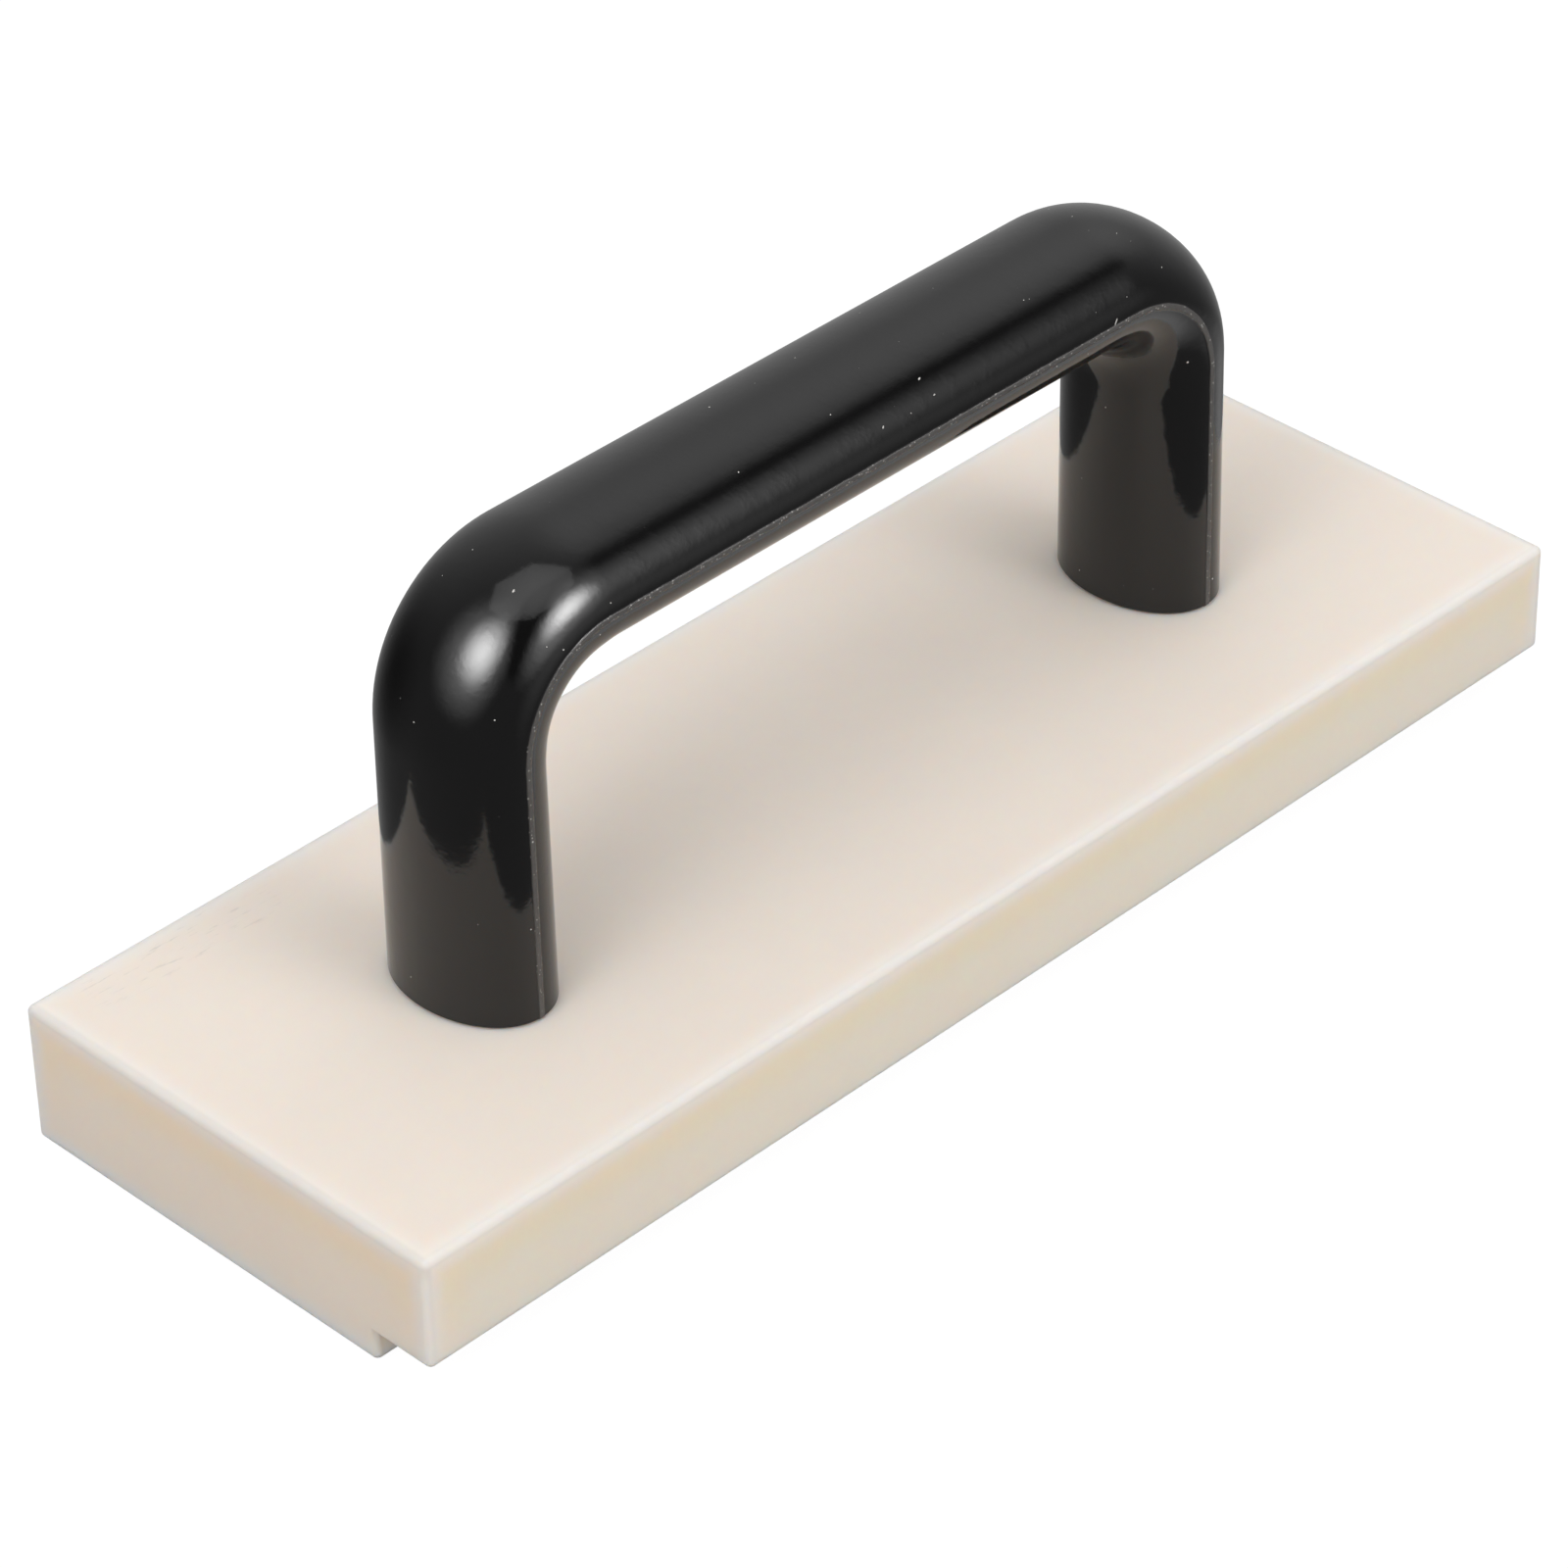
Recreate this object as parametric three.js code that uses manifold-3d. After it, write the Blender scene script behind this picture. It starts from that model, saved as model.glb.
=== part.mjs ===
// A hand-held vinyl applicator block: a thick nylon board with a stepped sole edge,
// carried by a bow handle that two cap screws hold from below.
//
// Millimetres. The origin is at the centre of the sole. +X runs along the board and the grip,
// +Y across it, away from the stepped edge, and +Z up through the handle.

import * as THREE from "three";
import { mergeVertices } from "three/addons/utils/BufferGeometryUtils.js";
import Module from "manifold-3d";

// Board
const boardLength = 200;
const boardWidth = 70;
const boardThickness = 20;
const boardEdgeRadius = 0.9;
const rebateWidth = 9.3;
const rebateDepth = 4.2;
const rebateCornerRadius = 0.8;

// Bow handle
const holePitch = 119;
const gripWidth = 23.6;
const gripThickness = 16.4;
const gripCentreHeight = 50.5;
const bendRadius = 14.6;
const footWidthGain = 0.4;
const footThicknessGain = 0.5;
const innerBendRadius = 9.3;

// Screws, in the sizes of an M6 socket head cap screw
const threadDiameter = 6;
const threadPitch = 1;
const threadDepth = 0.6;
const threadEngagement = 7.9;
const headDiameter = 10;
const headHeight = 6;
const headChamfer = 0.5;
const hexAcrossFlats = 5;
const hexDepth = 3;

// Washers under each screw head
const washerDiameter = 12;
const washerThickness = 1.6;
const springWasherDiameter = 11.6;
const springWasherThickness = 1.6;
const springWasherSplit = 1.2;

// Threaded inserts moulded into the feet of the handle
const insertDiameter = 10;
const insertLength = 13;
const insertGrooveWidth = 1.6;
const insertGrooveDepth = 0.8;
const insertFlutes = 24;
const insertFluteDepth = 0.35;
const insertChamfer = 0.5;

// Clearances
const seatGap = 0.05;
const screwHoleClearance = 0.3;
const washerBoreClearance = 0.2;
const springWasherBoreClearance = 0.15;
const headRecess = 2;
const counterboreClearance = 1;
const threadClearance = 0.2;
const insertFit = 0.3;
const insertEndRoom = 3;
const mouthChamfer = 0.5;

// Facets
const roundFacets = 40;
const sectionFacets = 48;
const bendSteps = 12;
const easeSteps = 3;

// What follows from the sizes above
const screwX = holePitch / 2;
const screwHoleRadius = threadDiameter / 2 + screwHoleClearance;
const headStack = headHeight + springWasherThickness + washerThickness + 3 * seatGap;
const counterboreDepth = headStack + headRecess;
const widestHeadPiece = Math.max(headDiameter, washerDiameter, springWasherDiameter);
const counterboreRadius = widestHeadPiece / 2 + counterboreClearance;
const washerBore = threadDiameter + 2 * washerBoreClearance;
const springWasherBore = threadDiameter + 2 * springWasherBoreClearance;
const washerBottom = counterboreDepth - seatGap - washerThickness;
const springWasherBottom = washerBottom - seatGap - springWasherThickness;
const headTop = springWasherBottom - seatGap;
const handleBase = boardThickness + seatGap;
const gripCentre = boardThickness + gripCentreHeight;
const legTop = gripCentre - bendRadius;
const gripEnd = screwX - bendRadius;
const insertBase = handleBase + seatGap;
const insertBoreRadius = threadDiameter / 2 + threadClearance;
const screwLength = insertBase + threadEngagement - headTop;

const wasm = await Module();
wasm.setup();

// A closed geometry as a solid that can be joined and cut.
function solidFrom(geometry) {
  const bare = geometry.clone();
  bare.deleteAttribute("normal");
  bare.deleteAttribute("uv");
  const merged = mergeVertices(bare, 1e-4);
  return new wasm.Manifold(
    new wasm.Mesh({
      numProp: 3,
      vertProperties: merged.attributes.position.array,
      triVerts: new Uint32Array(merged.index.array),
    }),
  );
}

// The solid back as a flat-shaded geometry.
function geometryFrom(solid) {
  const mesh = solid.getMesh();
  const geometry = new THREE.BufferGeometry();
  geometry.setAttribute("position", new THREE.BufferAttribute(mesh.vertProperties, 3));
  geometry.setIndex(new THREE.BufferAttribute(mesh.triVerts, 1));
  const flat = geometry.toNonIndexed();
  flat.computeVertexNormals();
  return flat;
}

// A profile of [radius, height] points turned round the Z axis.
function turned(profile, facets = roundFacets) {
  const points = profile.map(([radius, height]) => new THREE.Vector2(radius, height));
  return new THREE.LatheGeometry(points, facets).rotateX(Math.PI / 2);
}

// A rectangle centred on the origin with rounded corners.
function roundedRectangle(width, height, radius) {
  const x = width / 2 - radius;
  const y = height / 2 - radius;
  const quarter = Math.PI / 2;
  const outline = new THREE.Shape();
  outline.absarc(x, y, radius, 0, quarter);
  outline.absarc(-x, y, radius, quarter, 2 * quarter);
  outline.absarc(-x, -y, radius, 2 * quarter, 3 * quarter);
  outline.absarc(x, -y, radius, 3 * quarter, 4 * quarter);
  return outline;
}

// The board's end view, centred like the rectangle, with the step cut out of its lower left corner.
function steppedOutline() {
  const quarter = Math.PI / 2;
  const sole = -boardThickness / 2;
  const edge = boardWidth / 2;
  const stepX = rebateWidth - edge;
  const stepY = sole + rebateDepth;
  const r = boardEdgeRadius;
  const lip = rebateCornerRadius;
  const outline = new THREE.Shape();
  outline.absarc(edge - r, -sole - r, r, 0, quarter);
  outline.absarc(r - edge, -sole - r, r, quarter, 2 * quarter);
  outline.absarc(r - edge, stepY + r, r, 2 * quarter, 3 * quarter);
  outline.lineTo(stepX, stepY);
  outline.absarc(stepX + lip, sole + lip, lip, 2 * quarter, 3 * quarter);
  outline.absarc(edge - r, sole + r, r, 3 * quarter, 4 * quarter);
  return outline;
}

// A straight extrusion of the outline, centred on the origin.
function slab(outline, depth) {
  const geometry = new THREE.ExtrudeGeometry(outline, { depth, curveSegments: 2, bevelEnabled: false });
  return geometry.translate(0, 0, -depth / 2);
}

// A stepped hole from the sole to the top of the board, with an eased mouth.
function screwHoleCutter() {
  const past = 1;
  const mouthRadius = counterboreRadius + mouthChamfer;
  return turned([
    [0, -past],
    [mouthRadius, -past],
    [mouthRadius, 0],
    [counterboreRadius, mouthChamfer],
    [counterboreRadius, counterboreDepth],
    [screwHoleRadius, counterboreDepth],
    [screwHoleRadius, boardThickness + past],
    [0, boardThickness + past],
  ]);
}

// The block is what its end view, its plan and its side view have in common, which rounds every edge.
function boardGeometry() {
  const endView = slab(steppedOutline(), boardLength);
  endView.rotateZ(Math.PI / 2);
  endView.rotateY(Math.PI / 2);
  const plan = slab(roundedRectangle(boardLength, boardWidth, boardEdgeRadius), boardThickness);
  const sideView = slab(roundedRectangle(boardLength, boardThickness, boardEdgeRadius), boardWidth);
  sideView.rotateX(Math.PI / 2);
  const block = solidFrom(endView).intersect(solidFrom(plan)).intersect(solidFrom(sideView));
  let board = block.translate([0, 0, boardThickness / 2]);
  for (const side of [-1, 1]) {
    board = board.subtract(solidFrom(screwHoleCutter().translate(side * screwX, 0, 0)));
  }
  return geometryFrom(board);
}

// How far the wider inside fillet of a bend runs past the ends of the bend itself.
const bareInnerRadius = bendRadius - gripThickness / 2;
const filletRun = Math.max(innerBendRadius - bareInnerRadius, 0);
const filletRadius = bareInnerRadius + filletRun;

// The centreline of the bow, given by its stations: up one leg, round a bend, along the grip,
// round the other bend and down the other leg. The angle turns from straight up to straight down.
class BowLine extends THREE.Curve {
  constructor() {
    super();
    const quarter = Math.PI / 2;
    const half = [{ x: -screwX, z: handleBase, angle: 0 }];
    for (let i = 0; i < easeSteps; i++) {
      half.push({ x: -screwX, z: legTop - filletRun * (1 - i / easeSteps), angle: 0 });
    }
    for (let i = 0; i <= bendSteps; i++) {
      const angle = (i / bendSteps) * quarter;
      const x = -gripEnd - bendRadius * Math.cos(angle);
      half.push({ x, z: legTop + bendRadius * Math.sin(angle), angle });
    }
    for (let i = 1; i <= easeSteps; i++) {
      half.push({ x: -gripEnd + (filletRun * i) / easeSteps, z: gripCentre, angle: quarter });
    }
    const back = half.map(({ x, z, angle }) => ({ x: -x, z, angle: 2 * quarter - angle }));
    this.stations = [...half, ...back.reverse()];
    this.steps = this.stations.length - 1;
  }

  // The two stations on either side of t, and how far t lies between them.
  around(t) {
    const at = THREE.MathUtils.clamp(t, 0, 1) * this.steps;
    const first = Math.min(Math.floor(at + 1e-9), this.steps - 1);
    return { from: this.stations[first], to: this.stations[first + 1], share: at - first };
  }

  getPoint(t, target = new THREE.Vector3()) {
    const { from, to, share } = this.around(t);
    const { lerp } = THREE.MathUtils;
    return target.set(lerp(from.x, to.x, share), 0, lerp(from.z, to.z, share));
  }

  getTangent(t, target = new THREE.Vector3()) {
    const { from, to, share } = this.around(t);
    const angle = THREE.MathUtils.lerp(from.angle, to.angle, share);
    return target.set(Math.sin(angle), 0, Math.cos(angle));
  }

  getUtoTmapping(u) {
    return u;
  }
}

// How much thicker the inside of a straight stretch is, at a distance from the end of its bend.
function filletEase(distance) {
  const left = filletRun - distance;
  return left > 0 ? filletRadius - Math.sqrt(filletRadius ** 2 - left ** 2) : 0;
}

// The distance from the centre of a bend to its inside surface, along a direction out of the centre.
function filletReach(angle) {
  const along = -filletRun * (Math.cos(angle) + Math.sin(angle));
  return along + Math.sqrt(along ** 2 - 2 * filletRun ** 2 + filletRadius ** 2);
}

// Swells each leg towards its foot and fills the inside of each bend out to its fillet.
function shapeBow(geometry) {
  const halfThickness = gripThickness / 2;
  const place = geometry.attributes.position;
  for (let i = 0; i < place.count; i++) {
    const side = Math.sign(place.getX(i));
    const y = place.getY(i);
    let x = Math.abs(place.getX(i));
    let z = place.getZ(i);
    const out = x - gripEnd;
    const up = z - legTop;
    if (up <= 0) {
      const inward = Math.max(screwX - x, 0) / halfThickness;
      const down = -up / (legTop - handleBase);
      x = screwX + (x - screwX) * (1 + (down * footThicknessGain) / gripThickness);
      x -= inward * filletEase(-up);
      place.setY(i, y * (1 + (down * footWidthGain) / gripWidth));
    } else if (out <= 0) {
      z -= (Math.max(gripCentre - z, 0) / halfThickness) * filletEase(-out);
    } else {
      const reach = Math.hypot(out, up);
      const angle = Math.atan2(up, out);
      const inward = Math.max(bendRadius - reach, 0) / halfThickness;
      const pull = inward * (bareInnerRadius - filletReach(angle));
      x = gripEnd + (out * (reach - pull)) / reach;
      z = legTop + (up * (reach - pull)) / reach;
    }
    place.setX(i, side * x);
    place.setZ(i, z);
  }
  return geometry;
}

// A blind hole in each foot for its insert, with room past the insert for the screw's tip.
function insertHoleCutter() {
  const radius = insertDiameter / 2 + insertFit;
  const past = 1;
  const top = insertBase + insertLength + insertFit;
  return turned([
    [0, handleBase - past],
    [radius, handleBase - past],
    [radius, top],
    [insertBoreRadius, top],
    [insertBoreRadius, top + insertEndRoom],
    [0, top + insertEndRoom],
  ]);
}

function handleGeometry() {
  const section = new THREE.Shape();
  section.absellipse(0, 0, gripWidth / 2, gripThickness / 2, 0, 2 * Math.PI);
  const line = new BowLine();
  const bow = new THREE.ExtrudeGeometry(section, {
    curveSegments: sectionFacets / 2,
    steps: line.steps,
    extrudePath: line,
  });
  let handle = solidFrom(shapeBow(bow));
  for (const side of [-1, 1]) {
    handle = handle.subtract(solidFrom(insertHoleCutter().translate(side * screwX, 0, 0)));
  }
  return geometryFrom(handle);
}

// A brass bush with a fluted barrel and one waist groove that locks it in the moulding.
function insertGeometry() {
  const radius = insertDiameter / 2;
  const middle = insertLength / 2;
  const outline = new THREE.Shape();
  for (let i = 0; i < 2 * insertFlutes; i++) {
    const angle = (i * Math.PI) / insertFlutes;
    const r = i % 2 === 0 ? radius : radius - insertFluteDepth;
    if (i === 0) outline.moveTo(r, 0);
    else outline.lineTo(r * Math.cos(angle), r * Math.sin(angle));
  }
  const barrel = new THREE.ExtrudeGeometry(outline, { depth: insertLength, bevelEnabled: false });
  const waist = radius - insertGrooveDepth;
  const envelope = turned([
    [0, 0],
    [radius - insertChamfer, 0],
    [radius, insertChamfer],
    [radius, middle - insertGrooveWidth / 2],
    [waist, middle - insertGrooveWidth / 2],
    [waist, middle + insertGrooveWidth / 2],
    [radius, middle + insertGrooveWidth / 2],
    [radius, insertLength - insertChamfer],
    [radius - insertChamfer, insertLength],
    [0, insertLength],
  ]);
  const past = 1;
  const bore = turned([
    [0, -past],
    [insertBoreRadius + insertChamfer, -past],
    [insertBoreRadius + insertChamfer, 0],
    [insertBoreRadius, insertChamfer],
    [insertBoreRadius, insertLength + past],
    [0, insertLength + past],
  ]);
  return geometryFrom(solidFrom(barrel).intersect(solidFrom(envelope)).subtract(solidFrom(bore)));
}

// The screw stands head down: its head fills z from -headHeight to 0 and its shank runs up.
function screwGeometry() {
  const headRadius = headDiameter / 2;
  const crest = threadDiameter / 2;
  const root = crest - threadDepth;
  const profile = [
    [0, -headHeight],
    [headRadius - headChamfer, -headHeight],
    [headRadius, headChamfer - headHeight],
    [headRadius, 0],
    [crest, 0],
  ];
  // Ridges one pitch apart along the shank, up to a chamfered point.
  const ridges = Math.floor((screwLength - 2 * threadPitch) / threadPitch);
  for (let i = 1; i <= ridges; i++) {
    const z = i * threadPitch;
    profile.push([crest, z]);
    profile.push([root, z + threadPitch / 2]);
  }
  profile.push([crest, screwLength - threadPitch]);
  profile.push([root, screwLength]);
  profile.push([0, screwLength]);
  const past = 1;
  const hexRadius = hexAcrossFlats / Math.sqrt(3);
  const hex = new THREE.CylinderGeometry(hexRadius, hexRadius, hexDepth + past, 6);
  hex.rotateX(Math.PI / 2);
  hex.translate(0, 0, -headHeight + (hexDepth - past) / 2);
  return geometryFrom(solidFrom(turned(profile, roundFacets / 2)).subtract(solidFrom(hex)));
}

// A flat ring standing on z = 0.
function ringGeometry(outerDiameter, boreDiameter, thickness) {
  const outer = outerDiameter / 2;
  const bore = boreDiameter / 2;
  return turned([
    [bore, 0],
    [outer, 0],
    [outer, thickness],
    [bore, thickness],
    [bore, 0],
  ]);
}

// The lock washer is a flat ring with one slanting cut through its wall.
function springWasherGeometry() {
  const ring = ringGeometry(springWasherDiameter, springWasherBore, springWasherThickness);
  const slit = new THREE.BoxGeometry(springWasherDiameter, springWasherSplit, 4 * springWasherThickness);
  slit.rotateX(Math.PI / 6);
  slit.translate(springWasherDiameter / 2, 0, springWasherThickness / 2);
  return geometryFrom(solidFrom(ring).subtract(solidFrom(slit)));
}

const nylon = new THREE.MeshStandardMaterial({ color: 0xe8dccf, roughness: 0.45, metalness: 0 });
const phenolic = new THREE.MeshStandardMaterial({ color: 0x0d0d0e, roughness: 0.12, metalness: 0 });
const brass = new THREE.MeshStandardMaterial({ color: 0xc9a24a, roughness: 0.35, metalness: 1 });
const blackSteel = new THREE.MeshStandardMaterial({ color: 0x2b2b2d, roughness: 0.4, metalness: 0.9 });
const zincSteel = new THREE.MeshStandardMaterial({ color: 0xb4b6b8, roughness: 0.35, metalness: 1 });

function piece(name, geometry, material, x = 0, z = 0) {
  const mesh = new THREE.Mesh(geometry, material);
  mesh.name = name;
  mesh.position.set(x, 0, z);
  return mesh;
}

// The stack of fasteners on one screw axis, from the sole up into the foot of the handle.
function fastening(end, x) {
  const stack = new THREE.Group();
  stack.add(piece(`cap_screw_${end}`, screwGeometry(), blackSteel, 0, headTop));
  stack.add(piece(`lock_washer_${end}`, springWasherGeometry(), zincSteel, 0, springWasherBottom));
  const flat = ringGeometry(washerDiameter, washerBore, washerThickness);
  stack.add(piece(`flat_washer_${end}`, flat, zincSteel, 0, washerBottom));
  stack.add(piece(`threaded_insert_${end}`, insertGeometry(), brass, 0, insertBase));
  stack.position.x = x;
  return stack;
}

const applicator = new THREE.Group();
applicator.add(piece("sole_board", boardGeometry(), nylon));
applicator.add(piece("bow_handle", handleGeometry(), phenolic));
applicator.add(fastening("left", -screwX));
applicator.add(fastening("right", screwX));

export default applicator;
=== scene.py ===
import math

import bmesh
import bpy
from mathutils import Matrix, Vector


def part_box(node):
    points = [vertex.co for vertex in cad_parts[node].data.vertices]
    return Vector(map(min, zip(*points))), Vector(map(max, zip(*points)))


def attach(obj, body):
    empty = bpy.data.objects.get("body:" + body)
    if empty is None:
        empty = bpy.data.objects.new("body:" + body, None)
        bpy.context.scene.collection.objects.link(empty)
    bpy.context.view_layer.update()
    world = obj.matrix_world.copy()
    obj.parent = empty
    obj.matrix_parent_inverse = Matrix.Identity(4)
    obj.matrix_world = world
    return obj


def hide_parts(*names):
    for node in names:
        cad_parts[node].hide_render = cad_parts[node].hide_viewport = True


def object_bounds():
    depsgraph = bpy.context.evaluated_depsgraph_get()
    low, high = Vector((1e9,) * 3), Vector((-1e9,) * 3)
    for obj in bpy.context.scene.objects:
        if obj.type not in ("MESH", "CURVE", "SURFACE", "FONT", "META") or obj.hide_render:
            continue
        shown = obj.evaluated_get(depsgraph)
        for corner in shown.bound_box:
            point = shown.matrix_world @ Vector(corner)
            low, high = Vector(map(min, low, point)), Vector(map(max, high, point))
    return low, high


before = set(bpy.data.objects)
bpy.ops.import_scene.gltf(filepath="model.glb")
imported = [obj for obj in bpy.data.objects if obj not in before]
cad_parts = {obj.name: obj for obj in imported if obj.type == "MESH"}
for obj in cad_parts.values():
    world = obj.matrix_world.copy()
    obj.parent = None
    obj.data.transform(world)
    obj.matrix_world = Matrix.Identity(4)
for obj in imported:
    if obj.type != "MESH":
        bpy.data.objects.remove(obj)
cadLow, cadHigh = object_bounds()
mm = 0.001
scene = bpy.context.scene
scene.view_settings.view_transform = "Standard"
print("frame loaded:", len(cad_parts), "solids")

boardLow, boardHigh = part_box("sole_board")
handleLow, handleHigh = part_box("bow_handle")
screwLow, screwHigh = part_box("cap_screw_right")
screwX = (screwLow.x + screwHigh.x) / 2


# small helpers for node trees

class nodeValue:
    # a node's output that can be used in ordinary arithmetic
    def __init__(self, tree, socket):
        self.tree = tree
        self.socket = socket

    def __add__(self, other):
        return calc(self.tree, "ADD", self, other)

    def __radd__(self, other):
        return calc(self.tree, "ADD", other, self)

    def __sub__(self, other):
        return calc(self.tree, "SUBTRACT", self, other)

    def __rsub__(self, other):
        return calc(self.tree, "SUBTRACT", other, self)

    def __mul__(self, other):
        return calc(self.tree, "MULTIPLY", self, other)

    def __rmul__(self, other):
        return calc(self.tree, "MULTIPLY", other, self)

    def __truediv__(self, other):
        return calc(self.tree, "DIVIDE", self, other)

    def __rtruediv__(self, other):
        return calc(self.tree, "DIVIDE", other, self)

    def __neg__(self):
        return calc(self.tree, "MULTIPLY", self, -1.0)


def feed(tree, socket, value):
    if isinstance(value, nodeValue):
        tree.links.new(value.socket, socket)
    elif value is not None:
        socket.default_value = value


def addNode(tree, kind, inputs=None, output=0, **settings):
    node = tree.nodes.new(kind)
    for name, value in settings.items():
        setattr(node, name, value)
    for name, value in (inputs or {}).items():
        feed(tree, node.inputs[name], value)
    return nodeValue(tree, node.outputs[output])


def calc(tree, operation, *values):
    node = tree.nodes.new("ShaderNodeMath")
    node.operation = operation
    for slot, value in enumerate(values):
        feed(tree, node.inputs[slot], value)
    return nodeValue(tree, node.outputs[0])


def larger(a, b):
    return calc(a.tree, "MAXIMUM", a, b)


def smaller(a, b):
    return calc(a.tree, "MINIMUM", a, b)


def square(a):
    return a * a


def root(a):
    return calc(a.tree, "SQRT", larger(a, 0.0))


def pick(test, whenTrue, whenFalse):
    # test is 1 or 0
    return test * whenTrue + (1.0 - test) * whenFalse


def ramp(value, start, end, low=0.0, high=1.0, kind="SMOOTHSTEP"):
    return addNode(value.tree, "ShaderNodeMapRange", {"Value": value, "From Min": start, "From Max": end,
                                                      "To Min": low, "To Max": high}, interpolation_type=kind)


def split(tree, vector):
    node = tree.nodes.new("ShaderNodeSeparateXYZ")
    feed(tree, node.inputs[0], vector)
    return [nodeValue(tree, output) for output in node.outputs]


def join(tree, x, y, z):
    return addNode(tree, "ShaderNodeCombineXYZ", {"X": x, "Y": y, "Z": z})


def vectorCalc(tree, operation, *values):
    node = tree.nodes.new("ShaderNodeVectorMath")
    node.operation = operation
    for slot, value in enumerate(values):
        feed(tree, node.inputs[slot], value)
    return nodeValue(tree, node.outputs[1 if operation in ("DOT_PRODUCT", "LENGTH") else 0])


def geometryTree(name, sizes):
    # a tree whose named inputs are the sizes; returns the tree, its input values and its output node
    tree = bpy.data.node_groups.new(name, "GeometryNodeTree")
    tree.interface.new_socket("Geometry", in_out="INPUT", socket_type="NodeSocketGeometry")
    for key, value in sizes.items():
        kind = "NodeSocketInt" if isinstance(value, int) else "NodeSocketFloat"
        tree.interface.new_socket(key, in_out="INPUT", socket_type=kind)
    tree.interface.new_socket("Material", in_out="INPUT", socket_type="NodeSocketMaterial")
    tree.interface.new_socket("Geometry", in_out="OUTPUT", socket_type="NodeSocketGeometry")
    source = tree.nodes.new("NodeGroupInput")
    sink = tree.nodes.new("NodeGroupOutput")
    values = {socket.name: nodeValue(tree, socket) for socket in source.outputs if socket.name}
    return tree, values, sink


def closeTree(tree, geometry, material, sink):
    real = addNode(tree, "GeometryNodeRealizeInstances", {"Geometry": geometry})
    painted = addNode(tree, "GeometryNodeSetMaterial", {"Geometry": real, "Material": material})
    tree.links.new(painted.socket, sink.inputs[0])


def growPiece(name, tree, sizes, material, startMesh=None):
    # runs the tree once and keeps its result as a plain mesh at the origin
    holder = bpy.data.objects.new(name + "Grower", startMesh or bpy.data.meshes.new(name + "Start"))
    scene.collection.objects.link(holder)
    modifier = holder.modifiers.new("grow", "NODES")
    modifier.node_group = tree
    sockets = {item.name: item.identifier for item in tree.interface.items_tree if item.in_out == "INPUT"}
    for key, value in sizes.items():
        modifier[sockets[key]] = value
    modifier[sockets["Material"]] = material
    ready = holder.evaluated_get(bpy.context.evaluated_depsgraph_get())
    mesh = bpy.data.meshes.new_from_object(ready, preserve_all_data_layers=True,
                                           depsgraph=bpy.context.evaluated_depsgraph_get())
    bpy.data.objects.remove(holder)
    return newPiece(name, mesh, material)


def newPiece(name, mesh, material):
    mesh.name = name
    mesh.materials.clear()
    mesh.materials.append(material)
    piece = bpy.data.objects.new(name, mesh)
    scene.collection.objects.link(piece)
    return piece


def shadeByAngle(piece, degrees):
    piece.data.shade_smooth()
    piece.data.set_sharp_from_angle(angle=math.radians(degrees))


def turnOutward(piece):
    work = bmesh.new()
    work.from_mesh(piece.data)
    bmesh.ops.remove_doubles(work, verts=work.verts, dist=1e-7)
    bmesh.ops.recalc_face_normals(work, faces=work.faces)
    openEdges = sum(1 for edge in work.edges if len(edge.link_faces) != 2)
    work.to_mesh(piece.data)
    work.free()
    print("  ", piece.name, len(piece.data.polygons), "faces,", openEdges, "open edges")


# bow handle

bowHandle = {
    "gripWidth": 23.6 * mm,
    "gripThickness": 16.4 * mm,
    "bendRadius": 14.6 * mm,         # of the centreline
    "innerBendRadius": 9.3 * mm,
    "footWidthGain": 0.4 * mm,
    "footThicknessGain": 0.5 * mm,
    "footEase": 0.25 * mm,           # small chamfer round the foot
    "partingHeight": 0.10 * mm,      # ground seam along the widest line
    "partingWidth": 0.58 * mm,
    "partingRagged": 0.20 * mm,
    "pocketRadius": 5.3 * mm,        # holes in the feet for the brass inserts
    "pocketDepth": 13.35 * mm,
    "tipRadius": 3.2 * mm,
    "tipDepth": 16.35 * mm,
    "pointsRound": 128,
    "pointSpacing": 0.9 * mm,
}


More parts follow.
